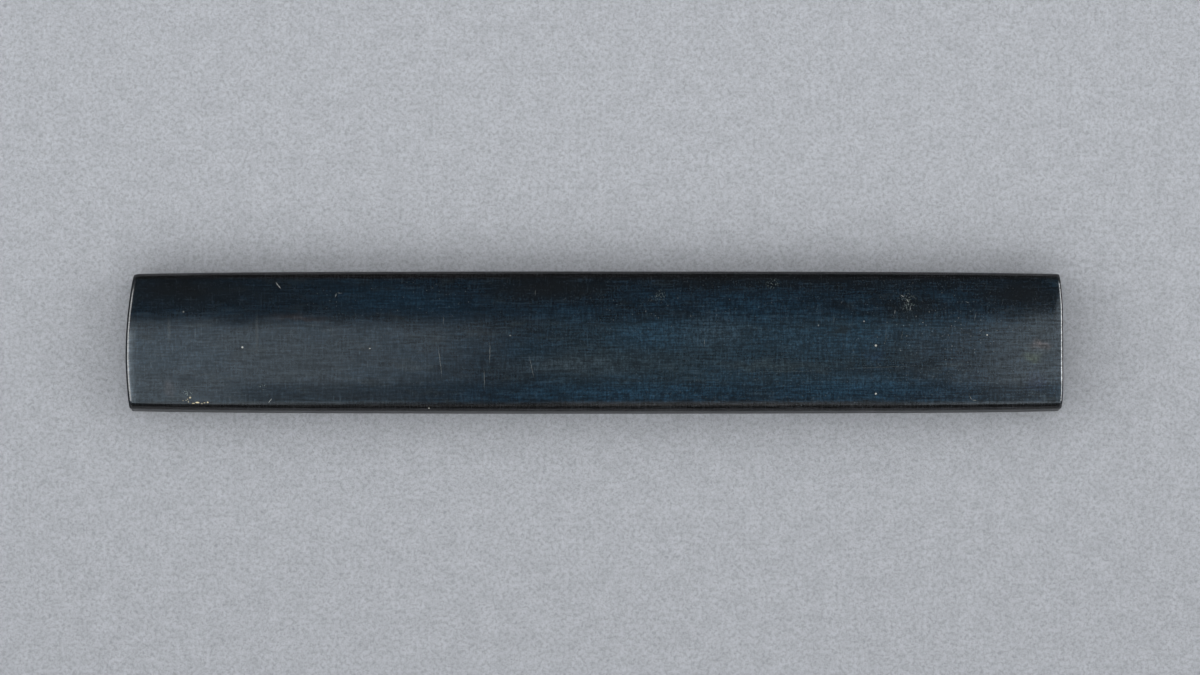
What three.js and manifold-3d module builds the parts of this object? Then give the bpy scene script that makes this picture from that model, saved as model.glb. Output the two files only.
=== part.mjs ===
// The hollow metal handle of a small Japanese utility knife, a kozuka, without its blade.
//
// One sheet is bent into a channel that makes the back and both long sides. The face plate is let into
// the channel's open side, which makes a flat tube, and a plate closes each end of the tube. The plate at
// the mouth has the slot that takes the blade's tang. Silver solder fills every seam, and each run of
// solder is a solid of its own, so no two pieces are fused.
//
// Millimetres. X runs from the butt to the mouth, Y across the handle, and Z from the face, which the
// handle rests on, to the back. The origin is at the middle of the resting face.
import * as THREE from "three";
import { mergeVertices } from "three/addons/utils/BufferGeometryUtils.js";
import Module from "manifold-3d";

const wasm = await Module();
wasm.setup();

// Overall size
const LENGTH = 97;
const WIDTH = 14.6;
const THICKNESS = 5.2;

// The long sides swell a little: the half width falls off towards the ends by a slow and a fast term.
const SWELL_SLOW = 0.16;
const SWELL_FAST = 0.115;
const FAST_POWER = 8;

// Channel: the back is crowned, and rolls over into each side
const SHEET = 0.85;
const BACK_RADIUS = 68;
const SHOULDER_RADIUS = 1;
const FOOT_RADIUS = 0.25;
const INNER_BEND = 0.6;

// Face plate, let into a rebate at the foot of each side
const LIP = 0.5;
const FACE_SHEET = 1.05;
const BORDER = 0.5;
const FIELD_DEPTH = 0.25;

// End plates and the tang slot
const BUTT_SHEET = 1.6;
const MOUTH_SHEET = 1.2;
const SLOT_WIDTH = 9.4;
const SLOT_HEIGHT = 2.2;
const SLOT_CORNER = 0.4;

// Ends, seen from above: the butt is an arc whose peak is off the middle, the mouth is straight and is
// eased off towards its corners
const BUTT_RADIUS = 43;
const BUTT_PEAK = -1.2;
const MOUTH_EASE_TOP = { from: 2.5, rate: 0.016 };
const MOUTH_EASE_FOOT = { from: 4.5, rate: 0.03 };
const CORNER = 0.4;
const ARRIS = 0.25;

// Solder: the seam's width, the play left on each side of the solder in it, and the fillet inside
const SEAM = 0.1;
const PLAY = 0.01;
const FILLET = 0.3;
const SEAM_SINK = 0.04;

// Longest distance between two cross-sections of a long piece, steps across a rounded arris, and segments
// per quarter of a curve
const STATION = 3.3;
const ACROSS = 12;
const CURVE_SEGMENTS = 5;

// Sizes that follow from the ones above
const HALF = WIDTH / 2;
const LIP_INSIDE = HALF - LIP;
const WALL_INSIDE = HALF - SHEET;
const LEDGE = FACE_SHEET + SEAM;
const SHOULDER = HALF - SHOULDER_RADIUS;
const BACK_CENTRE = THICKNESS - BACK_RADIUS;
const BACK_TURN = Math.asin(SHOULDER / (BACK_RADIUS - SHOULDER_RADIUS));
const ROOF_RADIUS = BACK_RADIUS - SHEET;
const END_HALF = halfWidth(LENGTH / 2 - CORNER);
const PAST = 1;

function halfWidth(x) {
  const u = (2 * x) / LENGTH;
  return HALF - SWELL_SLOW * u ** 2 - SWELL_FAST * u ** FAST_POWER;
}

// Height of the outside of the back at the ends, at a distance across the handle.
function endBackHeight(y) {
  return BACK_CENTRE + Math.sqrt(BACK_RADIUS ** 2 - ((y * HALF) / END_HALF) ** 2);
}

// Height of the inside of the back at a distance across the handle.
function roofHeight(y) {
  return BACK_CENTRE + Math.sqrt(ROOF_RADIUS ** 2 - y ** 2);
}

function buttX(y, inset) {
  return BUTT_RADIUS - LENGTH / 2 - Math.sqrt((BUTT_RADIUS - inset) ** 2 - (y - BUTT_PEAK) ** 2);
}

function mouthX(y, inset) {
  const ease = y > 0 ? MOUTH_EASE_TOP : MOUTH_EASE_FOOT;
  return LENGTH / 2 - inset - ease.rate * Math.max(0, Math.abs(y) - ease.from) ** 2;
}

// ---- From three.js geometry to solids and back ----

function solid(geometry) {
  const bare = geometry.clone();
  bare.deleteAttribute("normal");
  bare.deleteAttribute("uv");
  const merged = mergeVertices(bare, 1e-4);
  const mesh = new wasm.Mesh({
    numProp: 3,
    vertProperties: merged.attributes.position.array,
    triVerts: new Uint32Array(merged.index.array),
  });
  return new wasm.Manifold(mesh);
}

function geometryOf(body) {
  const mesh = body.getMesh();
  const geometry = new THREE.BufferGeometry();
  geometry.setAttribute("position", new THREE.BufferAttribute(mesh.vertProperties, 3));
  geometry.setIndex(new THREE.BufferAttribute(mesh.triVerts, 1));
  geometry.computeVertexNormals();
  return geometry;
}

// A cross-section drawn in (y, z), run along X from one place to another and drawn in to the swell of the
// long sides. The bevel, if any, narrows both ends.
function bar(section, from, to, bevel = 0) {
  const geometry = new THREE.ExtrudeGeometry(section, {
    depth: to - from,
    steps: Math.ceil((to - from) / STATION),
    curveSegments: CURVE_SEGMENTS,
    bevelEnabled: bevel > 0,
    bevelThickness: bevel,
    bevelSize: bevel,
    bevelOffset: -bevel,
    bevelSegments: 1,
  });
  const alongX = new THREE.Matrix4().makeBasis(
    new THREE.Vector3(0, 1, 0),
    new THREE.Vector3(0, 0, 1),
    new THREE.Vector3(1, 0, 0),
  );
  geometry.applyMatrix4(alongX).translate(from, 0, 0);
  const position = geometry.attributes.position;
  for (let i = 0; i < position.count; i += 1) {
    const share = halfWidth(position.getX(i)) / HALF;
    position.setY(i, position.getY(i) * share);
  }
  return solid(geometry);
}

function longBar(section) {
  return bar(section, -LENGTH / 2, LENGTH / 2);
}

// What lies between the two ends: the plan outline, set in from both ends, as a tall block. Its sides stand
// clear of the handle's sides, except where they come in to round a corner of the given half width.
function between(inset, half) {
  const outline = new THREE.Shape();
  const bow = BUTT_RADIUS - inset;
  const bend = half - CORNER;
  const mouth = mouthX(0, inset);
  outline.moveTo(0, half + PAST);
  outline.lineTo(buttX(half, inset) + CORNER + PAST, half + PAST);
  outline.lineTo(buttX(half, inset) + CORNER, half);
  outline.quadraticCurveTo(buttX(half, inset), half, buttX(bend, inset), bend);
  const top = Math.PI - Math.asin((bend - BUTT_PEAK) / bow);
  const foot = Math.PI + Math.asin((bend + BUTT_PEAK) / bow);
  outline.absarc(BUTT_RADIUS - LENGTH / 2, BUTT_PEAK, bow, top, foot, false);
  outline.quadraticCurveTo(buttX(-half, inset), -half, buttX(-half, inset) + CORNER, -half);
  outline.lineTo(buttX(-half, inset) + CORNER + PAST, -half - PAST);
  outline.lineTo(mouthX(-half, inset) - CORNER - PAST, -half - PAST);
  outline.lineTo(mouthX(-half, inset) - CORNER, -half);
  outline.quadraticCurveTo(mouthX(-half, inset), -half, mouthX(-bend, inset), -bend);
  outline.quadraticCurveTo(mouth, -(bend + MOUTH_EASE_FOOT.from) / 2, mouth, -MOUTH_EASE_FOOT.from);
  outline.lineTo(mouth, MOUTH_EASE_TOP.from);
  outline.quadraticCurveTo(mouth, (bend + MOUTH_EASE_TOP.from) / 2, mouthX(bend, inset), bend);
  outline.quadraticCurveTo(mouthX(half, inset), half, mouthX(half, inset) - CORNER, half);
  outline.lineTo(mouthX(half, inset) - CORNER - PAST, half + PAST);
  outline.closePath();
  const block = new THREE.ExtrudeGeometry(outline, {
    depth: THICKNESS + 2 * PAST,
    curveSegments: CURVE_SEGMENTS,
    bevelEnabled: false,
  });
  return solid(block.translate(0, 0, -PAST));
}

const handleEnds = between(0, END_HALF);

// The waste outside a quarter round on the arris where an end meets the back. It is drawn in (x, z) with
// the arris at the origin, run across the handle, and then follows the end and the crown. End is -1 at the
// butt and 1 at the mouth.
function arrisWaste(end) {
  const waste = new THREE.Shape();
  waste.moveTo(-PAST, -ARRIS);
  waste.lineTo(0, -ARRIS);
  waste.absarc(ARRIS, -ARRIS, ARRIS, Math.PI, Math.PI / 2, true);
  waste.lineTo(ARRIS, PAST);
  waste.lineTo(-PAST, PAST);
  waste.closePath();
  const span = WIDTH + 2 * PAST;
  const geometry = new THREE.ExtrudeGeometry(waste, {
    depth: span,
    steps: ACROSS,
    curveSegments: CURVE_SEGMENTS,
    bevelEnabled: false,
  });
  geometry.translate(0, 0, -span / 2).rotateX(Math.PI / 2);
  if (end > 0) {
    geometry.rotateZ(Math.PI);
  }
  const position = geometry.attributes.position;
  for (let i = 0; i < position.count; i += 1) {
    const y = position.getY(i);
    const endX = end > 0 ? mouthX(y, 0) : buttX(y, 0);
    position.setX(i, position.getX(i) + endX);
    position.setZ(i, position.getZ(i) + endBackHeight(y));
  }
  return solid(geometry);
}

// ---- Cross-sections, in (y, z) ----

// The channel: feet, round shoulders and crowned back outside, rebates and roof inside. The arcs of the
// back and the shoulders touch without a crease.
function channelSection() {
  const shape = new THREE.Shape();
  const spring = BACK_CENTRE + (BACK_RADIUS - SHOULDER_RADIUS) * Math.cos(BACK_TURN);
  const left = Math.PI / 2 + BACK_TURN;
  const right = Math.PI / 2 - BACK_TURN;
  const roofHalf = WALL_INSIDE - INNER_BEND;
  const roofTurn = Math.asin(roofHalf / ROOF_RADIUS);
  const bendFoot = roofHeight(WALL_INSIDE) - INNER_BEND;
  shape.moveTo(LIP_INSIDE, 0);
  shape.absarc(HALF - FOOT_RADIUS, FOOT_RADIUS, FOOT_RADIUS, -Math.PI / 2, 0, false);
  shape.absarc(SHOULDER, spring, SHOULDER_RADIUS, 0, right, false);
  shape.absarc(0, BACK_CENTRE, BACK_RADIUS, right, left, false);
  shape.absarc(-SHOULDER, spring, SHOULDER_RADIUS, left, Math.PI, false);
  shape.absarc(FOOT_RADIUS - HALF, FOOT_RADIUS, FOOT_RADIUS, Math.PI, 1.5 * Math.PI, false);
  shape.lineTo(-LIP_INSIDE, 0);
  shape.lineTo(-LIP_INSIDE, LEDGE);
  shape.lineTo(-WALL_INSIDE, LEDGE);
  shape.lineTo(-WALL_INSIDE, bendFoot);
  shape.quadraticCurveTo(-WALL_INSIDE, roofHeight(WALL_INSIDE), -roofHalf, roofHeight(roofHalf));
  shape.absarc(0, BACK_CENTRE, ROOF_RADIUS, Math.PI / 2 + roofTurn, Math.PI / 2 - roofTurn, true);
  shape.quadraticCurveTo(WALL_INSIDE, roofHeight(WALL_INSIDE), WALL_INSIDE, bendFoot);
  shape.lineTo(WALL_INSIDE, LEDGE);
  shape.lineTo(LIP_INSIDE, LEDGE);
  shape.closePath();
  return shape;
}

// The bore of the flat tube that the channel and the face plate make, drawn in by a margin all round.
function boreSection(margin) {
  const shape = new THREE.Shape();
  const wall = WALL_INSIDE - margin;
  const bend = wall - INNER_BEND;
  const turn = Math.asin(bend / (ROOF_RADIUS - margin));
  const eaves = roofHeight(WALL_INSIDE) - margin;
  shape.moveTo(-wall, FACE_SHEET + margin);
  shape.lineTo(wall, FACE_SHEET + margin);
  shape.lineTo(wall, eaves - INNER_BEND);
  shape.quadraticCurveTo(wall, eaves, bend, roofHeight(bend) - margin);
  shape.absarc(0, BACK_CENTRE, ROOF_RADIUS - margin, Math.PI / 2 - turn, Math.PI / 2 + turn, false);
  shape.quadraticCurveTo(-wall, eaves, -wall, eaves - INNER_BEND);
  shape.closePath();
  return shape;
}

function boxSection(half, foot, top) {
  const shape = new THREE.Shape();
  shape.moveTo(-half, foot);
  shape.lineTo(half, foot);
  shape.lineTo(half, top);
  shape.lineTo(-half, top);
  shape.closePath();
  return shape;
}

// The solder along one side of the face plate: a film up the plate's edge and over the ledge, ending in a
// fillet in the corner inside. Side is 1 or -1.
function sideSolderSection(side) {
  const shape = new THREE.Shape();
  const wall = WALL_INSIDE - PLAY;
  const edge = LIP_INSIDE - SEAM + PLAY;
  shape.moveTo(side * edge, SEAM_SINK);
  shape.lineTo(side * (LIP_INSIDE - PLAY), SEAM_SINK);
  shape.lineTo(side * (LIP_INSIDE - PLAY), LEDGE - PLAY);
  shape.lineTo(side * wall, LEDGE - PLAY);
  shape.lineTo(side * wall, LEDGE + FILLET);
  shape.lineTo(side * (wall - FILLET), FACE_SHEET + PLAY);
  shape.lineTo(side * edge, FACE_SHEET + PLAY);
  shape.closePath();
  return shape;
}

function slotSection() {
  const shape = new THREE.Shape();
  const half = SLOT_WIDTH / 2;
  const middle = (LEDGE + roofHeight(0) - SEAM) / 2;
  const foot = middle - SLOT_HEIGHT / 2;
  const top = middle + SLOT_HEIGHT / 2;
  const bend = half - SLOT_CORNER;
  shape.moveTo(-bend, foot);
  shape.absarc(bend, foot + SLOT_CORNER, SLOT_CORNER, -Math.PI / 2, 0, false);
  shape.absarc(bend, top - SLOT_CORNER, SLOT_CORNER, 0, Math.PI / 2, false);
  shape.absarc(-bend, top - SLOT_CORNER, SLOT_CORNER, Math.PI / 2, Math.PI, false);
  shape.absarc(-bend, foot + SLOT_CORNER, SLOT_CORNER, Math.PI, 1.5 * Math.PI, false);
  shape.closePath();
  return shape;
}

// ---- Pieces ----

function backChannel() {
  const cut = longBar(channelSection()).intersect(handleEnds);
  return cut.subtract(arrisWaste(-1)).subtract(arrisWaste(1));
}

// A raised border surrounds a sunken field, so the ground is protected where the handle rests on it.
function facePlate() {
  const half = LIP_INSIDE - SEAM;
  const field = half - BORDER;
  const sunk = longBar(boxSection(field, -PAST, FIELD_DEPTH)).intersect(
    between(LIP + BORDER, field * (END_HALF / HALF)),
  );
  return longBar(boxSection(half, 0, FACE_SHEET)).intersect(handleEnds).subtract(sunk);
}

function buttPlate() {
  const inner = BUTT_SHEET - LENGTH / 2;
  return bar(boreSection(SEAM), -LENGTH / 2, inner).intersect(handleEnds);
}

function mouthPlate() {
  const inner = LENGTH / 2 - MOUTH_SHEET;
  const slot = bar(slotSection(), inner - PAST, LENGTH / 2 + PAST);
  return bar(boreSection(SEAM), inner, LENGTH / 2).intersect(handleEnds).subtract(slot);
}

// The solder round an end plate: a film between the plate and the tube, and a fillet behind the plate. End
// is -1 at the butt and 1 at the mouth.
function endSolder(end, sheet) {
  const run = (section, outer, inner, bevel) => {
    const from = Math.min(end * outer, end * inner);
    return bar(section, from, Math.max(end * outer, end * inner), bevel);
  };
  const back = LENGTH / 2 - sheet;
  const ring = run(boreSection(PLAY), LENGTH / 2, back - FILLET, 0);
  const plate = run(boreSection(SEAM - PLAY), LENGTH / 2 + PAST, back - PLAY, 0);
  const hollow = run(boreSection(0), back - FILLET, back - 3 * FILLET, FILLET);
  return ring.subtract(plate).subtract(hollow).intersect(handleEnds);
}

// The fillet stops short of the end plates, and the film runs on to both ends.
function sideSolder(side) {
  const keepOut = boxSection(WALL_INSIDE + PLAY, FACE_SHEET, THICKNESS);
  const butt = bar(keepOut, -LENGTH / 2 - PAST, BUTT_SHEET + 2 * FILLET - LENGTH / 2);
  const mouth = bar(keepOut, LENGTH / 2 - MOUTH_SHEET - 2 * FILLET, LENGTH / 2 + PAST);
  const run = longBar(sideSolderSection(side));
  return run.intersect(handleEnds).subtract(butt).subtract(mouth);
}

// ---- Finishes ----

// The patina differs a little from piece to piece. Only the solder stays bright.
function metal(colour, roughness, metalness) {
  return new THREE.MeshStandardMaterial({ color: colour, roughness, metalness });
}

const backPatina = metal(0x1e2c38, 0.34, 0.9);
const facePatina = metal(0x171d26, 0.45, 0.9);
const endPatina = metal(0x232c34, 0.4, 0.9);
const silverSolder = metal(0x8d8f8c, 0.35, 1);

function piece(name, body, finish) {
  const mesh = new THREE.Mesh(geometryOf(body), finish);
  mesh.name = name;
  return mesh;
}

const plates = new THREE.Group();
plates.add(piece("back_channel", backChannel(), backPatina));
plates.add(piece("face_plate", facePlate(), facePatina));
plates.add(piece("butt_plate", buttPlate(), endPatina));
plates.add(piece("mouth_plate", mouthPlate(), endPatina));

const solder = new THREE.Group();
solder.add(piece("upper_side_solder", sideSolder(1), silverSolder));
solder.add(piece("lower_side_solder", sideSolder(-1), silverSolder));
solder.add(piece("butt_solder", endSolder(-1, BUTT_SHEET), silverSolder));
solder.add(piece("mouth_solder", endSolder(1, MOUTH_SHEET), silverSolder));

const handle = new THREE.Group();
handle.add(plates, solder);

export default handle;
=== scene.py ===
"""The looks of a kozuka, the hollow metal handle of a small Japanese utility knife.

The handle lies on its face on grey paper, with its plain back up. X runs from the butt to the mouth, Y
across the handle and Z up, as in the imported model. Lengths in this script are millimetres, and MM turns
them to metres. Colours are linear red, green and blue.
"""

import math

import bpy
import numpy as np
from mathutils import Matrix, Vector, noise


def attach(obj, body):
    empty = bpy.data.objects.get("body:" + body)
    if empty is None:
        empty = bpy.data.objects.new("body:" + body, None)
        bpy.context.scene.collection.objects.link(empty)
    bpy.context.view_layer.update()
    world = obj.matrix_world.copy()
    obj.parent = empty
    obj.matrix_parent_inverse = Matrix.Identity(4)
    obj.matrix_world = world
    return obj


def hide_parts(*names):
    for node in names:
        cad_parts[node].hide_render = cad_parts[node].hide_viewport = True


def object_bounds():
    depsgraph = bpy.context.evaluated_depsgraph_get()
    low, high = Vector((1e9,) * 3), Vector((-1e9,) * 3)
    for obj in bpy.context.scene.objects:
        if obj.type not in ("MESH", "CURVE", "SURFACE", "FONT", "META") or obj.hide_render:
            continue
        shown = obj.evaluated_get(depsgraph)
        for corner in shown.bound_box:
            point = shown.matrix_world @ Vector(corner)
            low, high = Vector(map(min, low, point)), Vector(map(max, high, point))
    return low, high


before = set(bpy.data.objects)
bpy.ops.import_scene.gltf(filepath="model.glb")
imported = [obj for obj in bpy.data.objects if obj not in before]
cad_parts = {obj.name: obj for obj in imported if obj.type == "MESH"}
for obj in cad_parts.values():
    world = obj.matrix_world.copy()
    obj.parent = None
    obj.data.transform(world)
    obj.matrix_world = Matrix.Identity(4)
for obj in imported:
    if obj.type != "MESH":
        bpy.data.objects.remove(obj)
cad_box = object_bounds()

MM = 0.001

# ---- Shape of the handle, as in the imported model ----

LENGTH = (cad_box[1].x - cad_box[0].x) / MM
HALF = (cad_box[1].y - cad_box[0].y) / MM / 2
THICKNESS = cad_box[1].z / MM

# The long sides swell a little: the half width falls off towards the ends by a slow and a fast term.
SWELL_SLOW = 0.16
SWELL_FAST = 0.115
FAST_POWER = 8

# The bent sheet: the back is crowned, and rolls over into each side.
SHEET = 0.85
BACK_RADIUS = 68.0
SHOULDER_RADIUS = 1.0
FOOT_RADIUS = 0.25
INNER_BEND = 0.6

# Below the ledge each side is thinned to a lip, and the face plate is let in between the lips.
LIP = 0.5
LEDGE = 1.15

# Ends, seen from above. The butt is an arc whose peak is off the middle. The mouth is straight, and is eased
# off from a place across the handle at a rate, on its upper and its lower side.
BUTT_RADIUS = 43.0
BUTT_PEAK = -1.2
UPPER_EASE_FROM = 2.5
UPPER_EASE_RATE = 0.016
LOWER_EASE_FROM = 4.5
LOWER_EASE_RATE = 0.03

# Sizes that follow from the ones above
LIP_INSIDE = HALF - LIP
WALL_INSIDE = HALF - SHEET
SHOULDER = HALF - SHOULDER_RADIUS
BACK_CENTRE = THICKNESS - BACK_RADIUS
BACK_TURN = math.asin(SHOULDER / (BACK_RADIUS - SHOULDER_RADIUS))
ROOF_RADIUS = BACK_RADIUS - SHEET


def half_width(x):
    """Half the handle's width at a place along it."""
    from_middle = 2 * x / LENGTH
    return HALF - SWELL_SLOW * from_middle**2 - SWELL_FAST * from_middle**FAST_POWER


def butt_x(y):
    """Where the handle starts at the butt, at a place across it."""
    return BUTT_RADIUS - LENGTH / 2 - np.sqrt(BUTT_RADIUS**2 - (y - BUTT_PEAK) ** 2)


def mouth_x(y):
    """Where the handle ends at the mouth, at a place across it."""
    upper = UPPER_EASE_RATE * np.maximum(0, y - UPPER_EASE_FROM) ** 2
    lower = LOWER_EASE_RATE * np.maximum(0, -y - LOWER_EASE_FROM) ** 2
    return LENGTH / 2 - upper - lower


# ---- Mesh helpers ----

SHARP_ANGLE = math.radians(38)
SEED_STEP = (17.3, -9.1, 5.7)


def mesh_object(name, points, faces):
    """A smooth-shaded piece from points in millimetres, riding on the handle's one body."""
    mesh = bpy.data.meshes.new(name)
    mesh.from_pydata(np.asarray(points) * MM, [], faces)
    mesh.validate()
    mesh.shade_smooth()
    mesh.set_sharp_from_angle(angle=SHARP_ANGLE)
    piece = bpy.data.objects.new(name, mesh)
    bpy.context.scene.collection.objects.link(piece)
    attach(piece, "root")
    return piece


def add_attribute(piece, name, values):
    """A number for each of the piece's points, which its material reads by name."""
    attribute = piece.data.attributes.new(name, "FLOAT", "POINT")
    attribute.data.foreach_set("value", values.astype(np.float32))


def drift(points, size, seed):
    """Smooth noise between 0 and 1 at each point, with features of about the given size."""
    offset = Vector([seed * step for step in SEED_STEP])
    values = [noise.noise(Vector(p) / size + offset) for p in points]
    return np.clip(0.5 + 0.5 * np.array(values), 0, 1)


def arc(centre, radius, start, stop, count):
    """Count points along an arc, both ends included, as (y, z), and their outward normals."""
    turn = np.linspace(start, stop, count)
    normal = np.stack([np.cos(turn), np.sin(turn)], axis=1)
    return np.array(centre) + radius * normal, normal


def line(start, stop, count):
    """Count points along a line, both ends included, as (y, z), and normals that point sideways."""
    share = np.linspace(0, 1, count)[:, None]
    points = np.array(start) * (1 - share) + np.array(stop) * share
    return points, np.tile((1, 0), (count, 1))


def joined(stretches):
    """Stretches of points end to end. The last point of each gives way to the first of the next."""
    return np.concatenate([stretch[:-1] for stretch in stretches] + [stretches[-1][-1:]])


# ---- Back and sides: one bent sheet ----

# Distance between two plain cross-sections, and how far from each end they stop
STATION = 0.5
END_GAP = 1.0

# Points along each stretch of the cross-section, from the middle of the back to the foot
BACK_POINTS = 30
SHOULDER_POINTS = 16
WALL_POINTS = 10
LEDGE_POINTS = 2
LIP_POINTS = 4
FOOT_POINTS = 5

# Height of the stretch of the outside that stands against the ledge inside
LEDGE_BAND = 0.05

# The rounded arris at each end: how far it reaches along the back, how deep it goes, and how bright it is
# worn. It is shallower down the sides, and its depth varies from place to place.
BUTT_ARRIS = (0.46, 0.36, 0.35)
MOUTH_ARRIS = (0.3, 0.28, 0.9)
ARRIS_SECTIONS = 10
SIDE_SHARE = 0.35
ARRIS_VARIES = 0.3
ARRIS_VARIES_SIZE = 1.6

# The back also rolls off a little towards the butt.
ROLL_REACH = 1.6
ROLL_DEPTH = 0.05

# The wear runs along the middle of the arris. Its outermost, steepest part is painted black: painted shade
# where the arris turns away. Turns are in degrees from the end of the handle. The wear is weaker towards the
# upper side.
WORN_TURNS = (40, 63, 90)
PAINTED_SHADE_TURNS = (36, 50)
WEAR_FADES = (-1, 5)
UPPER_WEAR = 0.5

# The outside is faintly uneven, in broad waves that are longer along the handle, and in small ones.
WAVE_DEPTH = 0.03
BROAD_SIZE = 9.0
BROAD_STRETCH = (0.6, 1, 1)
BROAD_SHARE = 0.75
SMALL_SIZE = 3.2

# The rounding and the waves fade below a height, down to a share of their depth at the feet.
FADE_HEIGHT = 1.5
FOOT_SHARE = 0.15

# Each noise has its own seed.
BROAD_SEED = 1
SMALL_SEED = 2
ARRIS_SEED = 3


def half_section():
    """Outer points, their normals and the inner point behind each, from the middle of the back to a foot."""
    up = math.pi / 2
    spring_z = BACK_CENTRE + (BACK_RADIUS - SHOULDER_RADIUS) * math.cos(BACK_TURN)
    bend_y = WALL_INSIDE - INNER_BEND
    bend_z = BACK_CENTRE + math.sqrt(ROOF_RADIUS**2 - WALL_INSIDE**2) - INNER_BEND
    lip_top = LEDGE - LEDGE_BAND
    outside = [
        arc((0, BACK_CENTRE), BACK_RADIUS, up, up - BACK_TURN, BACK_POINTS),
        arc((SHOULDER, spring_z), SHOULDER_RADIUS, up - BACK_TURN, 0, SHOULDER_POINTS),
        line((HALF, spring_z), (HALF, LEDGE), WALL_POINTS),
        line((HALF, LEDGE), (HALF, lip_top), LEDGE_POINTS),
        line((HALF, lip_top), (HALF, FOOT_RADIUS), LIP_POINTS),
        arc((HALF - FOOT_RADIUS, FOOT_RADIUS), FOOT_RADIUS, 0, -up, FOOT_POINTS),
    ]
    inside = [
        arc((0, BACK_CENTRE), ROOF_RADIUS, up, up - math.asin(bend_y / ROOF_RADIUS), BACK_POINTS),
        arc((bend_y, bend_z), INNER_BEND, up, 0, SHOULDER_POINTS),
        line((WALL_INSIDE, bend_z), (WALL_INSIDE, LEDGE), WALL_POINTS),
        line((WALL_INSIDE, LEDGE), (LIP_INSIDE, LEDGE), LEDGE_POINTS),
        line((LIP_INSIDE, LEDGE), (LIP_INSIDE, FOOT_RADIUS), LIP_POINTS),
        line((LIP_INSIDE, FOOT_RADIUS), (LIP_INSIDE, 0), FOOT_POINTS),
    ]
    outer = joined([points for points, _ in outside])
    normal = joined([normals for _, normals in outside])
    inner = joined([points for points, _ in inside])
    return outer, normal, inner


def mirror_join(half):
    """The other half's points, then this half's, sharing the one in the middle."""
    return np.concatenate([(half * (-1, 1))[::-1], half[1:]])


def carry(section, share):
    """A cross-section at a share of the handle's length: drawn in to the swell, and bowed as the ends are."""
    y = section[:, 0] * half_width((share - 0.5) * LENGTH) / HALF
    x = butt_x(y) * (1 - share) + mouth_x(y) * share
    return np.stack([x, y, section[:, 1]], axis=1)


def rolled(distance):
    """How deep the back rolls off at a distance from the butt."""
    return ROLL_DEPTH * max(0, 1 - distance / ROLL_REACH) ** 2


def rows():
    """Each cross-section's distance from the butt, how deep it is set in, its wear and its painted shade."""
    made = []
    for at_mouth, (reach, depth, wear) in ((False, BUTT_ARRIS), (True, MOUTH_ARRIS)):
        for turn in np.linspace(0, math.pi / 2, ARRIS_SECTIONS):
            near = reach * (1 - math.cos(turn))
            distance = LENGTH - near if at_mouth else near
            inset = depth * (1 - math.sin(turn)) + rolled(distance)
            worn = wear * np.interp(math.degrees(turn), WORN_TURNS, (0, 1, 0))
            painted_shade = np.interp(math.degrees(turn), PAINTED_SHADE_TURNS, (1, 0))
            made.append((distance, inset, worn, painted_shade))
    for distance in np.arange(END_GAP, LENGTH - END_GAP + STATION / 2, STATION):
        made.append((distance, rolled(distance), 0, 0))
    return sorted(made)


def varied(outer, distance):
    """Levels around 1 by which the arris's depth varies along a cross-section."""
    places = np.c_[outer, np.full(len(outer), distance)]
    return 1 - ARRIS_VARIES / 2 + ARRIS_VARIES * drift(places, ARRIS_VARIES_SIZE, ARRIS_SEED)


def waves(points):
    """How deep the uneven outside dips at each point."""
    broad = drift(points * BROAD_STRETCH, BROAD_SIZE, BROAD_SEED) * BROAD_SHARE
    small = drift(points, SMALL_SIZE, SMALL_SEED) * (1 - BROAD_SHARE)
    return WAVE_DEPTH * (broad + small)


def channel_faces(row_count, count):
    """Faces of the channel, turned outwards. Its outer grid of points comes first, then its inner grid."""
    inner = row_count * count
    faces = []
    for first in range(0, inner - count, count):
        last = first + count - 1
        for a in range(first, last):
            b = inner + a
            faces.append((a, a + count, a + count + 1, a + 1))
            faces.append((b, b + 1, b + count + 1, b + count))
        faces.append((first, inner + first, inner + first + count, first + count))
        faces.append((inner + last, last, last + count, inner + last + count))
    for a in range(count - 1):
        b = inner - count + a
        faces.append((a, a + 1, inner + a + 1, inner + a))
        faces.append((b, inner + b, inner + b + 1, b + 1))
    return faces


def back_and_sides():
    """The bent sheet, with rounded and worn arrises and a faintly uneven outside."""
    outer, normal, inner = (mirror_join(part) for part in half_section())
    hold = np.clip(outer[:, 1] / FADE_HEIGHT, FOOT_SHARE, 1)
    rounding = hold * (SIDE_SHARE + (1 - SIDE_SHARE) * np.clip(normal[:, 1], 0, 1))
    fade = np.interp(outer[:, 0], WEAR_FADES, (1, UPPER_WEAR))
    outer_rows = []
    inner_rows = []
    worn_rows = []
    painted_shade_rows = []
    for distance, inset, worn, painted_shade in rows():
        section = outer - normal * (inset * rounding * varied(outer, distance))[:, None]
        outer_rows.append(carry(section, distance / LENGTH))
        inner_rows.append(carry(inner, distance / LENGTH))
        worn_rows.append(worn * fade)
        painted_shade_rows.append(np.full(len(outer), painted_shade))
    outer_points = np.concatenate(outer_rows)
    normals = np.tile(normal, (len(outer_rows), 1))
    dips = waves(outer_points) * np.tile(hold, len(outer_rows))
    outer_points[:, 1:] -= normals * dips[:, None]
    points = np.concatenate([outer_points, *inner_rows])
    piece = mesh_object("back_and_sides", points, channel_faces(len(outer_rows), len(outer)))
    unworn = np.zeros(len(outer_points))
    add_attribute(piece, "worn", np.concatenate([*worn_rows, unworn]))
    add_attribute(piece, "painted_shade", np.concatenate([*painted_shade_rows, unworn]))
    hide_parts("back_channel")
    return piece


# ---- Node helper ----


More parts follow.
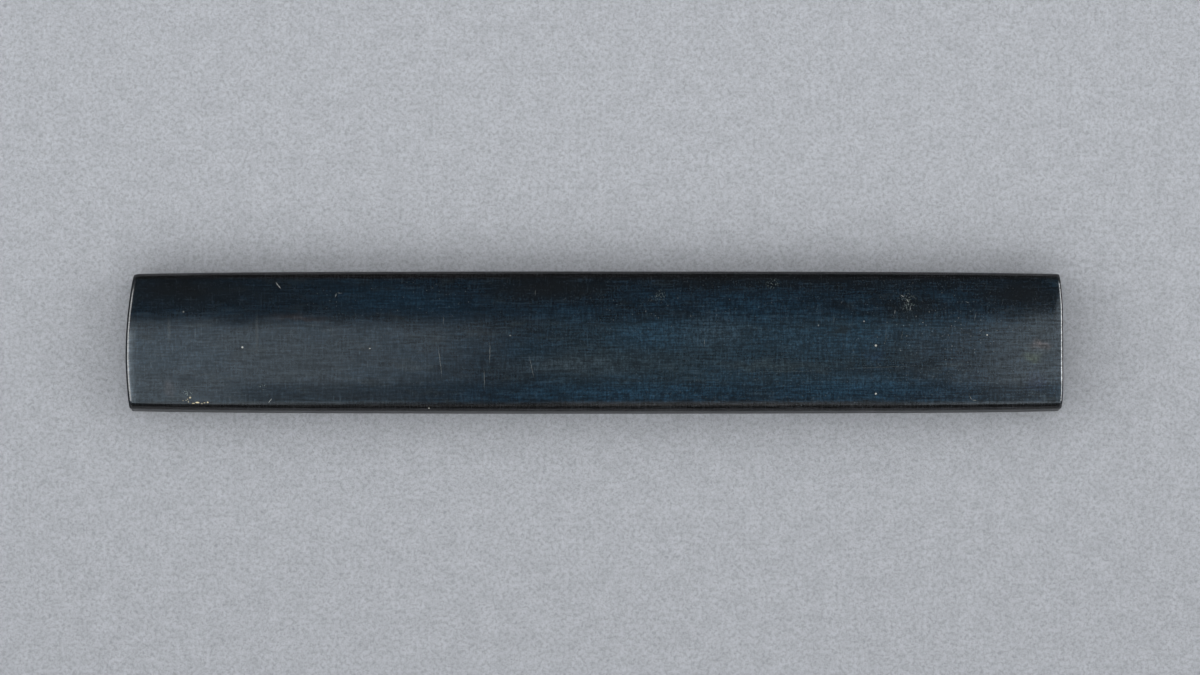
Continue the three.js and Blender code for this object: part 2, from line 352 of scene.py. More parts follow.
class Graph:
    """A material's or world's node tree, with a short call for each node that the looks use."""

    def __init__(self, owner):
        owner.use_nodes = True
        self.tree = owner.node_tree
        self.tree.nodes.clear()

    def node(self, kind, inputs=None, **settings):
        """A new node. Inputs are by name or number, and each is a value or another node's output."""
        made = self.tree.nodes.new(kind)
        for name, value in settings.items():
            setattr(made, name, value)
        for key, value in (inputs or {}).items():
            self.put(made.inputs[key], value)
        return made

    def put(self, socket, value):
        """Gives an input a value or another node's output. None leaves it as it is."""
        if isinstance(value, bpy.types.NodeSocket):
            self.tree.links.new(value, socket)
        elif value is not None:
            socket.default_value = value

    def math(self, operation, a, b=None, c=None):
        """What a math operation gives."""
        made = self.node("ShaderNodeMath", operation=operation)
        for socket, value in zip(made.inputs, (a, b, c)):
            self.put(socket, value)
        return made.outputs[0]

    def fold(self, operation, values):
        """The values taken together by one operation, two at a time."""
        values = iter(values)
        result = next(values)
        for value in values:
            result = self.math(operation, result, value)
        return result

    def total(self, *values):
        """The sum of the values."""
        return self.fold("ADD", values)

    def product(self, *values):
        """The values multiplied together."""
        return self.fold("MULTIPLY", values)

    def vector(self, operation, a, b=None):
        """What a vector operation gives: a number for a length or a dot product, and else a vector."""
        made = self.node("ShaderNodeVectorMath", {0: a, 1: b}, operation=operation)
        return made.outputs["Value" if operation in ("LENGTH", "DOT_PRODUCT") else "Vector"]

    def dimmed(self, colour, level):
        """The colour times a level."""
        made = self.node("ShaderNodeVectorMath", {0: colour, "Scale": level}, operation="SCALE")
        return made.outputs["Vector"]

    def noise(self, vector, scale, detail, roughness=0.5, distortion=0.0):
        """Noise around 0.5, with about one feature to each unit of the scaled vector."""
        inputs = {
            "Vector": vector,
            "Scale": scale,
            "Detail": detail,
            "Roughness": roughness,
            "Distortion": distortion,
        }
        return self.node("ShaderNodeTexNoise", inputs).outputs[0]

    def ramp(self, value, low, high, to_low=0.0, to_high=1.0):
        """Smooth step from to_low to to_high as value goes from low to high."""
        inputs = {0: value, 1: low, 2: high, 3: to_low, 4: to_high}
        made = self.node("ShaderNodeMapRange", inputs, interpolation_type="SMOOTHSTEP", clamp=False)
        return made.outputs[0]

    def blend(self, share, a, b):
        """A number between a and b."""
        return self.node("ShaderNodeMix", {"Factor": share, "A": a, "B": b}).outputs["Result"]

    def mix(self, share, a, b):
        """A colour between a and b, which are colours or outputs."""
        made = self.node("ShaderNodeMix", data_type="RGBA")
        self.put(made.inputs["Factor"], share)
        self.put(made.inputs["A"], a if isinstance(a, bpy.types.NodeSocket) else (*a, 1))
        self.put(made.inputs["B"], b if isinstance(b, bpy.types.NodeSocket) else (*b, 1))
        return made.outputs["Result"]

    def parts(self, vector):
        """The vector's X, Y and Z."""
        return self.node("ShaderNodeSeparateXYZ", {0: vector}).outputs

    def attribute(self, name):
        """The number that the piece holds under this name at the shaded point."""
        return self.node("ShaderNodeAttribute", attribute_name=name).outputs["Fac"]


def material(name):
    """A new material and its empty graph."""
    made = bpy.data.materials.new(name)
    return made, Graph(made)


def place_mm(graph):
    """The shaded point in the handle's frame, in millimetres."""
    coordinates = graph.node("ShaderNodeTexCoord").outputs["Object"]
    return graph.vector("MULTIPLY", coordinates, (1 / MM,) * 3)


def shifted(graph, place, size, reach):
    """The place moved by soft noise, so that a shape drawn from it has an uneven edge."""
    texture = graph.node("ShaderNodeTexNoise", {"Vector": place, "Scale": 1 / size, "Detail": 3.0})
    centred = graph.vector("SUBTRACT", texture.outputs["Color"], (0.5,) * 3)
    return graph.vector("ADD", place, graph.vector("MULTIPLY", centred, (2 * reach,) * 3))


def ellipse(graph, place, x, y, half_long, half_wide, turn=0.0, core=0.0):
    """1 in the middle of an ellipse on the back and 0 outside it. Core is the share of it that stays at 1."""
    cosine = math.cos(math.radians(turn))
    sine = math.sin(math.radians(turn))
    offset = graph.vector("SUBTRACT", place, (x, y, 0))
    along = graph.vector("DOT_PRODUCT", offset, (cosine / half_long, sine / half_long, 0))
    across = graph.vector("DOT_PRODUCT", offset, (-sine / half_wide, cosine / half_wide, 0))
    local = graph.node("ShaderNodeCombineXYZ", {0: along, 1: across}).outputs[0]
    return graph.ramp(graph.vector("LENGTH", local), 1, core)


def strongest(graph, place, listed, core=0.0):
    """The strongest of the listed ellipses at the shaded point. Each has its strength as its last value."""
    return graph.fold(
        "MAXIMUM",
        (graph.product(ellipse(graph, place, *where, core=core), strength) for *where, strength in listed),
    )


def surface(graph, colour, roughness, height, depth, finish):
    """Ends the tree in a shader with a bump of the given depth. Finish holds more inputs, by name."""
    bump = graph.node("ShaderNodeBump", {"Height": height, "Distance": depth * MM}).outputs[0]
    inputs = {"Base Color": colour, "Roughness": roughness, "Normal": bump, **finish}
    if "Coat Weight" in finish:
        inputs["Coat Normal"] = bump
    shader = graph.node("ShaderNodeBsdfPrincipled", inputs)
    graph.node("ShaderNodeOutputMaterial", {"Surface": shader.outputs[0]})


# ---- Patina ----

BLACK = (0.0028, 0.0041, 0.0054)
BLUE = (0.0026, 0.01, 0.0182)
BRIGHT_BLUE = (0.0055, 0.0198, 0.0355)
GREY_BROWN = (0.0105, 0.0145, 0.016)
RIM_BROWN = (0.0075, 0.0075, 0.008)
HAZE = (0.055, 0.07, 0.08)
# Scratches are painted pale: partly their own colour, partly a painted glint on the bare metal.
SCRATCH_AND_GLINT = (0.45, 0.46, 0.43)
CHALK = (0.5, 0.5, 0.46)
PIT = (0.11, 0.135, 0.13)
# Gold flecks are painted pale and bright: partly bare metal, partly a painted glint.
GOLD_AND_GLINT = (0.7, 0.6, 0.38)

# The metal under the clear shine of the patina
METAL_ROUGHNESS = 0.45
METAL_SPECULAR = 0.05

# Where the patina is bluer, blacker, paler or browner. Each is an ellipse on the back: x, y, half length,
# half width, strength
BLUE_AREAS = [
    (-20, 4.2, 11, 2.0, 0.45),
    (-3, 2.9, 7, 1.8, 0.4),
    (16, 3.4, 13, 3.2, 0.6),
    (8, 1.0, 10, 2.4, 0.75),
    (24, 0.2, 14, 2.6, 0.5),
    (3, -5.4, 20, 1.6, 0.8),
    (27, -5.0, 15, 2.4, 0.9),
    (36, 4.6, 5, 1.4, 0.3),
]
BLACK_AREAS = [
    (-43, 5.4, 13, 3.2, 1.0),
    (-5, 5.6, 11, 2.4, 1.0),
    (33, 3.4, 5, 2.4, 0.6),
    (25.5, 1.2, 1.4, 0.9, 0.9),
    (44, 4.9, 8, 2.6, 0.85),
    (20, 7.2, 40, 2.5, 0.9),
]
PALE_AREAS = [
    (12, 0.9, 6, 2.8, 0.15),
    (33, -0.5, 6, 2, 0.05),
    (-3, -2.7, 10, 1.5, 0.2),
]
BROWN_AREAS = [
    (2, -2.0, 15, 1.9, 0.5),
    (18, -2.6, 10, 0.9, 0.8),
    (46, -1.2, 2.2, 1.3, 0.8),
]

# Faint colours of the patina, most of them near the ends: x, y, half length, half width, colour, strength
TINTS = [
    (46.2, -0.5, 1.5, 0.7, (0.055, 0.04, 0.038), 0.8),
    (45.2, -1.8, 1.4, 0.7, (0.024, 0.033, 0.019), 0.9),
    (45.7, -4.3, 1.6, 1.3, (0.003, 0.008, 0.024), 0.7),
    (-47.2, 0.0, 1.0, 0.9, (0.002, 0.012, 0.024), 0.8),
    (-43.9, -4.9, 0.8, 1.2, (0.034, 0.032, 0.036), 0.6),
    (29.0, -1.5, 1.8, 1.2, (0.003, 0.011, 0.026), 0.5),
    (-30.5, 2.4, 4.5, 0.5, (0.02, 0.015, 0.014), 0.6),
]

# Fine scratches with painted glints: x, y, half length, half width, turn in degrees from the length of the
# handle, strength
SCRATCHES_AND_GLINTS = [
    (-32.7, 5.75, 0.55, 0.06, -56, 1.0),
    (-26.75, 4.7, 0.3, 0.05, 70, 0.6),
    (-26.35, 4.95, 0.35, 0.04, -5, 0.4),
    (-15.95, -2.15, 2.0, 0.04, -83, 0.22),
    (-15.6, 2.15, 0.6, 0.04, 90, 0.15),
    (-10.8, -1.3, 1.4, 0.04, 90, 0.26),
    (-11.4, -3.9, 1.35, 0.04, -88, 0.24),
    (-6.5, -2.7, 1.5, 0.04, -78, 0.24),
    (-6.1, 5.0, 0.4, 0.04, 90, 0.15),
    (11.4, -0.2, 0.6, 0.04, 90, 0.2),
    (-34.9, 0.7, 2.9, 0.22, 90, 0.035),
    (-44.0, 1.1, 1.6, 0.25, 90, 0.04),
    (-33.5, -6.2, 0.35, 0.05, 55, 0.7),
    (29.8, -2.75, 5.0, 0.04, 2.4, 0.08),
    (20.0, -3.2, 6.0, 0.04, 1.0, 0.05),
    (31.9, 4.65, 0.25, 0.045, -20, 0.8),
    (32.4, 4.15, 0.3, 0.045, -60, 0.8),
    (32.7, 3.4, 0.3, 0.045, 80, 0.6),
    (31.1, 3.0, 0.3, 0.045, 85, 0.4),
    (38.9, -5.9, 0.3, 0.05, -60, 0.6),
    (39.3, -6.15, 0.3, 0.04, -5, 0.5),
    (30.15, 0.5, 1.05, 0.05, 88, 0.09),
    (31.8, 0.6, 0.5, 0.05, 75, 0.09),
    (39.4, 2.5, 0.6, 0.05, 80, 0.12),
    (40.0, 1.0, 0.3, 0.05, 40, 0.14),
    (38.6, 4.0, 0.25, 0.05, -30, 0.25),
    (25.6, 4.0, 0.2, 0.05, 60, 0.25),
    (24.8, 2.2, 0.5, 0.05, 80, 0.08),
    (26.8, -1.2, 0.4, 0.05, -65, 0.1),
]

# Small white specks: x, y, half length, half width, strength
SPECKS = [
    (-36.4, -0.7, 0.13, 0.13, 1.0),
    (-23.2, -0.8, 0.1, 0.1, 0.6),
    (29.1, -0.5, 0.13, 0.13, 0.9),
    (29.1, -5.5, 0.12, 0.12, 1.0),
    (40.6, 0.6, 0.1, 0.1, 0.9),
    (27.9, 2.0, 0.1, 0.1, 0.5),
    (23.2, 1.6, 0.1, 0.1, 0.3),
    (-8.7, 0.5, 0.1, 0.1, 0.25),
    (-42.5, 3.0, 0.1, 0.1, 0.3),
    (-17.1, -6.95, 0.1, 0.1, 0.7),
]

# Flecks of bare gold-coloured metal, with painted glints: x, y, half length, half width, strength
GOLD_FLECKS_AND_GLINTS = [
    (-42.5, -6.2, 0.09, 0.06, 0.3),
    (-42.2, -6.19, 0.1, 0.06, 0.35),
    (-42.05, -6.06, 0.07, 0.1, 0.35),
    (-41.95, -6.31, 0.08, 0.13, 0.45),
    (-41.8, -5.87, 0.15, 0.1, 0.75),
    (-41.44, -6.49, 0.18, 0.08, 0.6),
    (-41.05, -6.4, 0.25, 0.1, 1.0),
    (-40.56, -6.5, 0.12, 0.07, 0.35),
    (-40.3, -6.41, 0.13, 0.07, 0.45),
    (-39.99, -6.39, 0.11, 0.11, 0.9),
]

# Where the surface is pitted in many small spots: x, y, half length, half width
PITTED_AREAS = [
    (6.8, 4.7, 0.8, 0.8),
    (18.5, 5.9, 0.9, 0.7),
    (32.4, 4.1, 1.1, 1.4),
    (-34.3, -4.8, 0.6, 0.4),
    (-42.2, -5.4, 1.0, 0.6),
]

# Where the surface shines less: x, y, half length, half width, strength
DULL_AREAS = [
    (-36.6, 2.4, 3.8, 1.9, 0.8),
    (-42.0, -4.0, 5.0, 0.8, 0.35),
    (29.0, -3.1, 12.0, 0.9, 0.4),
]

# A dull band runs along the lower edge, except near the butt: where it fades in across the handle, where it
# fades out again at the edge, and where it fades in along the handle.
BAND_INNER = (-3.5, -5.4)
BAND_EDGE = (-6.4, -6.15)
BAND_START = (-41, -33)

# Where fine bright dust lies thickest: x, y, half length, half width, strength. There is a little everywhere.
DUSTY_AREAS = [
    (35, 1.5, 16, 7, 1.0),
    (8, 3.5, 16, 4, 0.7),
    (-20, 4.5, 20, 3, 0.5),
]
DUST_EVERYWHERE = 0.1

# How soft the marks' edges are: the share of a mark that has its full strength
SCRATCH_CORE = 0.3
PITTED_CORE = 0.3
FLECK_CORE = 0.5

# Features of the fine texture to a millimetre. The streaks' features are much longer one way than the other.
ALONG_FEATURES = (0.4, 5.0, 5.0)
ACROSS_FEATURES = (5.0, 0.6, 0.6)
GRAIN_FEATURES = 3.8
SPOT_FEATURES = 6.0
DUST_CELLS = 3.0

# How far the noise of each texture swings from 0.5, and how much lighter or darker that makes a point
ALONG_SWING = (0.16, 0.28)
ACROSS_SWING = (0.16, 0.2)
GRAIN_SWING = (0.13, 0.28)

# The texture grows stronger towards the mouth, between two places along the handle. The powers it is raised
# to at each are for the colour and for the shine, and the blacker areas cover it by these shares.
GROWS = (-28, 10)
COLOUR_POWER = (1.25, 1.95)
SHINE_POWER = (0.65, 0.9)
BLACK_COVER = (0, 0.6)

# The patina turns brown across the handle where the back rolls over. The sides turn satin as their normal
# turns away from straight up, which is 1.
RIM_FADE = (SHOULDER - 0.1, SHOULDER + 0.4)
SATIN_FADE = (0.75, 0.35)

# Haze on the brightest streaks and spots: a ramp from a low to a high level of their noise, and between two
# shares of haze. The spots' haze also grows towards the mouth, between two places along the handle.
ALONG_HAZE = (0.58, 0.8, 0, 0.26)
ACROSS_HAZE = (0.6, 0.8, 0, 0.36)
SPOT_HAZE = (0.6, 0.72)
SPOT_HAZE_GROWS = (-28, 25, 0.15, 0.7)
END_HAZE = (0.55, 0.8, 0, 0.4)

# How much each texture and the pits add to the bump of the back
ALONG_RELIEF = 0.45
ACROSS_RELIEF = 0.35
GRAIN_RELIEF = 0.3
PIT_RELIEF = -0.5

# How deep the bumps of the back, the plates and the solder are
BACK_BUMP = 0.0016
END_BUMP = 0.003
SOLDER_BUMP = 0.004

# How strong the clear shine is on the back and on the sides, and what share of it is left where the surface
# is dull and where the arris is painted black as shade
SHINE_BACK = 0.85
SHINE_SIDES = 0.4
DULL_LEFT = 0.45
SHINE_LEFT_IN_PAINTED_SHADE = 0.25

# How rough the clear shine is, from a low to a high level of the noise, and how much rougher on the sides
SHINE_ROUGHNESS = (0.07, 0.12)
END_ROUGHNESS = (0.16, 0.26)
SIDES_ROUGHER = 0.25

# How strongly the clear shine refracts. It is stronger on the worn arris, which makes that bright.
SHINE_IOR = 1.5
WORN_IOR = 2.2

SOLDER_DARK = (0.11, 0.115, 0.11)
SOLDER_PALE = (0.3, 0.3, 0.28)


def hairlines(graph, place):
    """Fine brushed streaks along the handle and across it, and an even grain, each about 0 to 1."""
    along = graph.noise(graph.vector("MULTIPLY", place, ALONG_FEATURES), 1.0, 3, 0.7)
    across = graph.noise(graph.vector("MULTIPLY", place, ACROSS_FEATURES), 1.0, 3, 0.7)
    grain = graph.noise(place, GRAIN_FEATURES, 4, 0.8)
    return along, across, grain


def swung(graph, value, reach, strength):
    """A level around 1, from noise around 0.5."""
    return graph.ramp(value, 0.5 - reach, 0.5 + reach, 1 - strength, 1 + strength)


def streak_level(graph, along, across, grain):
    """How much lighter or darker the fine texture makes a point. It is 1 on average."""
    return graph.product(
        swung(graph, along, *ALONG_SWING),
        swung(graph, across, *ACROSS_SWING),
        swung(graph, grain, *GRAIN_SWING),
    )


def patina_ground(graph, place):
    """The dark blue-black ground, in soft patches."""
    clouds = graph.noise(graph.vector("MULTIPLY", place, (0.5, 1, 1)), 0.25, 4, 0.6)
    colour = graph.mix(graph.ramp(clouds, 0.35, 0.65, 0.5, 0.95), BLACK, BLUE)
    tint = graph.noise(graph.vector("MULTIPLY", place, (0.3, 1, 1)), 0.9, 6, 0.7, 0.3)
    return graph.mix(graph.ramp(tint, 0.5, 0.75, 0, 0.7), colour, GREY_BROWN)


def patches(graph, place, uneven, black):
    """The ground with its bluer, blacker, browner and paler areas, its brown shoulders and its tints."""
    colour = patina_ground(graph, place)
    colour = graph.mix(strongest(graph, uneven, BLUE_AREAS), colour, BRIGHT_BLUE)
    colour = graph.mix(black, colour, BLACK)
    colour = graph.mix(strongest(graph, uneven, BROWN_AREAS), colour, GREY_BROWN)
    from_middle = graph.math("ABSOLUTE", graph.parts(place)["Y"])
    colour = graph.mix(graph.ramp(from_middle, *RIM_FADE), colour, RIM_BROWN)
    colour = graph.mix(strongest(graph, uneven, PALE_AREAS), colour, HAZE)
    for *where, tint, strength in TINTS:
        share = graph.product(ellipse(graph, uneven, *where), strength)
        colour = graph.mix(share, colour, tint)
    return colour


def streaked(graph, colour, x, along, across, level, spots):
    """The colour broken up by the fine texture, with a haze on its brightest streaks and spots."""
    colour = graph.dimmed(colour, graph.math("POWER", level, graph.ramp(x, *GROWS, *COLOUR_POWER)))
    colour = graph.mix(graph.ramp(along, *ALONG_HAZE), colour, HAZE)
    colour = graph.mix(graph.ramp(across, *ACROSS_HAZE), colour, HAZE)
    speckled = graph.product(graph.ramp(spots, *SPOT_HAZE), graph.ramp(x, *SPOT_HAZE_GROWS))
    return graph.mix(speckled, colour, HAZE)


def dust(graph, place):
    """Tiny bright points, one to a cell of a loose net, and faint in most cells."""
    net = graph.node("ShaderNodeTexVoronoi", {"Vector": place, "Scale": DUST_CELLS})
    points = graph.ramp(net.outputs["Distance"], 0.19, 0.08)
    chance = graph.ramp(graph.parts(net.outputs["Color"])["X"], 0.55, 1.0, 0, 0.35)
    amount = graph.total(strongest(graph, place, DUSTY_AREAS), DUST_EVERYWHERE)
    return graph.product(points, chance, amount)


def scratches_and_glints(graph, place, spots):
    """The listed scratches, partly painted glints, each fading in and out where the surface dips."""
    return graph.product(
        strongest(graph, place, SCRATCHES_AND_GLINTS, SCRATCH_CORE),
        graph.ramp(spots, 0.38, 0.52, 0.35, 1),
    )


def pitted(graph, place, spots):
    """Small spots of bare surface inside the pitted areas."""
    inside = graph.fold("MAXIMUM", (ellipse(graph, place, *area, core=PITTED_CORE) for area in PITTED_AREAS))
    return graph.product(inside, graph.ramp(spots, 0.54, 0.64))


def marked(graph, colour, place, spots, pits):
    """The colour with its dust, pits, white specks, and scratches and gold flecks that are partly painted
    glints.
    """
    jagged = shifted(graph, place, size=0.5, reach=0.1)
    colour = graph.mix(dust(graph, place), colour, CHALK)
    colour = graph.mix(scratches_and_glints(graph, jagged, spots), colour, SCRATCH_AND_GLINT)
    colour = graph.mix(pits, colour, PIT)
    colour = graph.mix(strongest(graph, jagged, SPECKS, FLECK_CORE), colour, CHALK)
    return graph.mix(strongest(graph, jagged, GOLD_FLECKS_AND_GLINTS, FLECK_CORE), colour, GOLD_AND_GLINT)


def shine(graph, x, y, uneven, satin, painted_shade, level):
    """How strong the clear shine is. It is weaker on the sides, in the dull areas and in the painted shade.
    """
    band = graph.product(graph.ramp(y, *BAND_INNER), graph.ramp(y, *BAND_EDGE), graph.ramp(x, *BAND_START))
    dull = graph.math("MAXIMUM", band, strongest(graph, uneven, DULL_AREAS))
    gloss = graph.product(
        graph.ramp(satin, 0, 1, SHINE_BACK, SHINE_SIDES),
        graph.ramp(dull, 0, 1, 1, DULL_LEFT),
        graph.ramp(painted_shade, 0, 1, 1, SHINE_LEFT_IN_PAINTED_SHADE),
        graph.math("POWER", level, graph.ramp(x, *GROWS, *SHINE_POWER)),
    )
    return graph.math("MINIMUM", gloss, 1.0)


def back_patina():
    """The polished back with its patches, streaks, marks and bright worn arrises, and the satin sides."""
    made, graph = material("back_patina_look")
    place = place_mm(graph)
    x, y, _ = graph.parts(place)
    uneven = shifted(graph, place, size=1.6, reach=0.9)
    along, across, grain = hairlines(graph, place)
    spots = graph.noise(place, SPOT_FEATURES, 3, 0.6)

    # The sides have no streaks across them.
    upright = graph.parts(graph.node("ShaderNodeNewGeometry").outputs["Normal"])["Z"]
    satin = graph.ramp(upright, *SATIN_FADE)
    across = graph.blend(satin, across, 0.5)
    level = streak_level(graph, along, across, grain)

    black = strongest(graph, uneven, BLACK_AREAS)
    colour = patches(graph, place, uneven, black)
    colour = streaked(graph, colour, x, along, across, level, spots)
    colour = graph.mix(graph.product(black, graph.ramp(x, *GROWS, *BLACK_COVER)), colour, BLACK)
    pits = pitted(graph, place, spots)
    colour = marked(graph, colour, place, spots, pits)
    # Painted shade: the outermost, steepest part of each end's arris is painted black.
    painted_shade = graph.attribute("painted_shade")
    colour = graph.mix(painted_shade, colour, BLACK)

    height = graph.total(
        graph.product(along, ALONG_RELIEF),
        graph.product(across, ACROSS_RELIEF),
        graph.product(grain, GRAIN_RELIEF),
        graph.product(pits, PIT_RELIEF),
    )
    spotty = graph.ramp(spots, 0.35, 0.7, *SHINE_ROUGHNESS)
    finish = {
        "Specular IOR Level": METAL_SPECULAR,
        "Coat Weight": shine(graph, x, y, uneven, satin, painted_shade, level),
        "Coat Roughness": graph.total(spotty, graph.product(satin, SIDES_ROUGHER)),
        "Coat IOR": graph.ramp(graph.attribute("worn"), 0, 1, SHINE_IOR, WORN_IOR),
    }
    surface(graph, colour, METAL_ROUGHNESS, height, BACK_BUMP, finish)
    return made


def end_patina():
    """The end plates and the face plate: the same patina, satin and without a place of its own."""
    made, graph = material("end_patina_look")
    place = place_mm(graph)
    along, across, grain = hairlines(graph, place)
    level = streak_level(graph, along, across, grain)
    colour = graph.dimmed(patina_ground(graph, place), level)
    colour = graph.mix(graph.ramp(across, *END_HAZE), colour, HAZE)
    height = graph.total(graph.product(across, 0.5), graph.product(grain, 0.5))
    finish = {
        "Specular IOR Level": METAL_SPECULAR,
        "Coat Weight": 1.0,
        "Coat Roughness": graph.ramp(along, 0.3, 0.7, *END_ROUGHNESS),
        "Coat IOR": SHINE_IOR,
    }
    surface(graph, colour, METAL_ROUGHNESS, height, END_BUMP, finish)
    return made


def solder():
    """Dull silver solder, stained in patches."""
    made, graph = material("dull_solder")
    place = place_mm(graph)
    stain = graph.noise(place, 1.2, 4, 0.6)
    colour = graph.mix(graph.ramp(stain, 0.35, 0.65), SOLDER_DARK, SOLDER_PALE)
    surface(graph, colour, METAL_ROUGHNESS, graph.noise(place, 8.0, 3), SOLDER_BUMP, {"Metallic": 1.0})
    return made


def paint(piece, look):
    """Gives a piece one material."""
    piece.data.materials.clear()
    piece.data.materials.append(look)


paint(back_and_sides(), back_patina())
end_look = end_patina()
solder_look = solder()
for name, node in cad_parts.items():
    paint(node, solder_look if name.endswith("solder") else end_look)


# ---- Stage ----

PAPER = (0.487, 0.505, 0.54)
PAPER_BUMP = 0.1
FLOOR_SIZE = 2000

# Painted light: the paper is coloured a little lighter behind the handle, in place of uneven lamp light: from
# one place across to another, by this much.
PAPER_PAINTED_LIGHT = (-45, 45, 1.0, 1.12)

# Broad lamps all round that light the surfaces: name, azimuth, elevation, watts. Azimuth 0 is in front, at
# -Y, and 90 is at the mouth.
FILLS = [
    ("front_fill", 0, 45, 5.8),
    ("back_fill", 180, 45, 2.6),
    ("butt_fill", -90, 32, 5.8),
    ("mouth_fill", 90, 32, 5.8),
    ("top_fill", 0, 90, 1.9),
]
FILL_DISTANCE = 1200
FILL_SIZE = (1200, 900)

# Soft boxes that only show as reflections, also as name, azimuth, elevation, watts
SOFTBOXES = [
    ("butt_softbox", -90, 36, 4.8),
    ("mouth_softbox", 90, 36, 4.8),
]
SOFTBOX_DISTANCE = 800
SOFTBOX_SIZE = (500, 400)

# Glowing cards overhead. Their reflections are the bright zones on the back, and their edges are the zones'.
CARD_HEIGHT = 750
CARD_COOL = (0.93, 1.08, 1.19)
CARD_BLUE = (0.26, 0.47, 0.61)
CARD_WARM = (1.0, 0.97, 0.94)
LEFT_CARD = [(-10, 130), (-640, 130), (-640, -700), (-10, -700)]
RIGHT_CARD = [(70, 58), (93, 98), (107, 122), (640, 600), (640, -700), (70, -700)]
MIDDLE_CARD = [(-10, 125), (-10, -97), (220, -97), (220, 125)]
FRONT_CARD = [(-600, -90), (-600, -830), (600, -830), (600, -90)]

# A fade that is already over where a card begins, so that it adds its level everywhere
EVERYWHERE = (-2000, -1999)

# How bright the studio is overhead and at both ends, what share of that is left near the floor, and how
# bright the wall is that the camera sees instead
WORLD_COLOUR = (0.95, 0.97, 1.0, 1.0)
OVERHEAD = 0.03
AT_ENDS = 0.45
NEAR_FLOOR = 0.15
WALL_PALE = 0.5


def shade(colour, share):
    """The colour, darker or lighter."""
    return tuple(share * channel for channel in colour)


def paper():
    """Grey paper, softly mottled and with fine fibres, and painted lighter behind the handle."""
    made, graph = material("paper")
    place = place_mm(graph)
    mottle = graph.noise(place, 0.5, 3, 0.6)
    fibre = graph.noise(place, 2.6, 6, 0.85, 0.4)
    colour = graph.mix(graph.ramp(mottle, 0.3, 0.7), shade(PAPER, 0.95), shade(PAPER, 1.05))
    colour = graph.mix(graph.ramp(fibre, 0.4, 0.66, 0, 0.7), colour, shade(PAPER, 0.5))
    # Painted light: the colour grows lighter towards the back of the paper.
    colour = graph.dimmed(colour, graph.ramp(graph.parts(place)["Y"], *PAPER_PAINTED_LIGHT))
    surface(graph, colour, 0.95, fibre, PAPER_BUMP, {"Specular IOR Level": 0.2})
    return made


def paper_floor():
    """The paper that the handle lies on."""
    bpy.ops.mesh.primitive_plane_add(size=FLOOR_SIZE * MM, location=(0, 0, 0))
    floor = bpy.context.object
    floor.name = "paper_floor"
    floor.data.materials.append(paper())


def lamp(name, azimuth, elevation, distance, size, watts):
    """A rectangular lamp that points at the handle."""
    turn = math.radians(azimuth)
    rise = math.radians(elevation)
    reach = distance * MM
    level = reach * math.cos(rise)
    data = bpy.data.lights.new(name, "AREA")
    data.shape = "RECTANGLE"
    data.size = size[0] * MM
    data.size_y = size[1] * MM
    data.energy = watts
    made = bpy.data.objects.new(name, data)
    made.location = (level * math.sin(turn), -level * math.cos(turn), reach * math.sin(rise))
    made.rotation_euler = (-made.location).to_track_quat("-Z", "Y").to_euler()
    bpy.context.scene.collection.objects.link(made)
    return made


def lamps():
    """The broad lamps, which reflections don't see, and the soft boxes, which only reflections see."""
    for name, azimuth, elevation, watts in FILLS:
        fill = lamp(name, azimuth, elevation, FILL_DISTANCE, FILL_SIZE, watts)
        fill.visible_glossy = False
    for name, azimuth, elevation, watts in SOFTBOXES:
        softbox = lamp(name, azimuth, elevation, SOFTBOX_DISTANCE, SOFTBOX_SIZE, watts)
        softbox.visible_diffuse = False


def card(name, corners, colour, fades, top, skew=0.0, raised=0):
    """A glowing flat card overhead that only reflections see. Corners are (x, y).

    Each fade adds a level along x, from one x to another, and skew turns that direction. Top is where the
    card's light starts along y, and where it is full.
    """
    mesh = bpy.data.meshes.new(name)
    points = [(x * MM, y * MM, (CARD_HEIGHT + raised) * MM) for x, y in corners]
    mesh.from_pydata(points, [], [tuple(range(len(points)))])
    piece = bpy.data.objects.new(name, mesh)
    bpy.context.scene.collection.objects.link(piece)
    made, graph = material(name)
    x, y, _ = graph.parts(place_mm(graph))
    x = graph.math("MULTIPLY_ADD", y, -skew, x)
    level = graph.total(*[graph.ramp(x, start, stop, 0, strength) for start, stop, strength in fades])
    level = graph.product(level, graph.ramp(y, *top))
    glow = graph.node("ShaderNodeEmission", {"Color": (*colour, 1), "Strength": level})
    graph.node("ShaderNodeOutputMaterial", {"Surface": glow.outputs[0]})
    mesh.materials.append(made)
    piece.visible_camera = False
    piece.visible_diffuse = False
    piece.visible_shadow = False


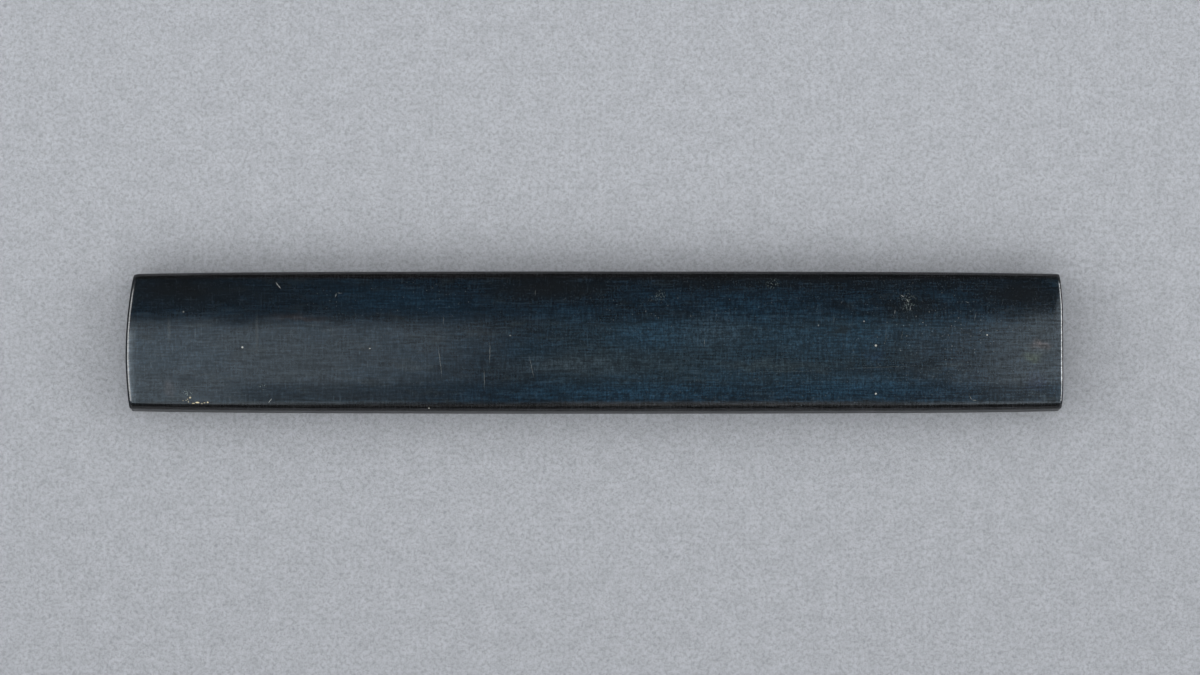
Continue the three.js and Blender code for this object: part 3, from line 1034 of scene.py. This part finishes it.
def cards():
    """One for the bright zone at the butt, one at the mouth, a dimmer one between them, and one in front."""
    left_fades = [(-18, -52, 1.25), (-52, -110, 0.3), (-115, -320, 3.0)]
    right_fades = [(72, 104, 1.75), (200, 600, 3.0)]
    card("card_left", LEFT_CARD, CARD_COOL, left_fades, top=(125, 72), skew=0.08)
    card("card_right", RIGHT_CARD, CARD_COOL, right_fades, top=(600, 50))
    card("card_middle", MIDDLE_CARD, CARD_BLUE, [(*EVERYWHERE, 1.0)], top=(128, 84), raised=5)
    card("card_front", FRONT_CARD, CARD_WARM, [(*EVERYWHERE, 0.6)], top=(-97, -115), raised=10)


def studio_world():
    """Dark overhead, in front, behind and near the floor, and paler at both ends.

    The camera itself sees an even pale wall.
    """
    world = bpy.data.worlds.new("studio")
    bpy.context.scene.world = world
    graph = Graph(world)
    direction = graph.node("ShaderNodeTexCoord").outputs["Generated"]
    sideways, _, up = graph.parts(direction)
    level = graph.ramp(graph.math("ABSOLUTE", sideways), 0.1, 0.8, OVERHEAD, AT_ENDS)
    level = graph.product(level, graph.ramp(up, 0.05, 0.45, NEAR_FLOOR, 1))
    seen = graph.node("ShaderNodeLightPath").outputs["Is Camera Ray"]
    level = graph.blend(seen, level, WALL_PALE)
    background = graph.node("ShaderNodeBackground", {"Color": WORLD_COLOUR, "Strength": level})
    graph.node("ShaderNodeOutputWorld", {"Surface": background.outputs[0]})


paper_floor()
lamps()
cards()
studio_world()

# ---- Camera ----

# The camera looks at a point on top of the handle. The field is as wide as this at that point's distance.
AIM = (0.585, 0.32)
CAMERA_DISTANCE = 600
CAMERA_ELEVATION = math.radians(86)
FIELD_WIDTH = 124.08
SENSOR_WIDTH = 36
NEAREST_SEEN = 10


def camera():
    """The camera, almost straight above the handle."""
    data = bpy.data.cameras.new("camera")
    data.sensor_width = SENSOR_WIDTH
    data.lens = SENSOR_WIDTH * CAMERA_DISTANCE / FIELD_WIDTH
    data.clip_start = NEAREST_SEEN * MM
    made = bpy.data.objects.new("camera", data)
    target = Vector((*AIM, THICKNESS)) * MM
    back_off = Vector((0, -math.cos(CAMERA_ELEVATION), math.sin(CAMERA_ELEVATION)))
    made.location = target + back_off * CAMERA_DISTANCE * MM
    made.rotation_euler = (-back_off).to_track_quat("-Z", "Y").to_euler()
    bpy.context.scene.collection.objects.link(made)
    bpy.context.scene.camera = made


camera()
bpy.context.scene.view_settings.view_transform = "Standard"
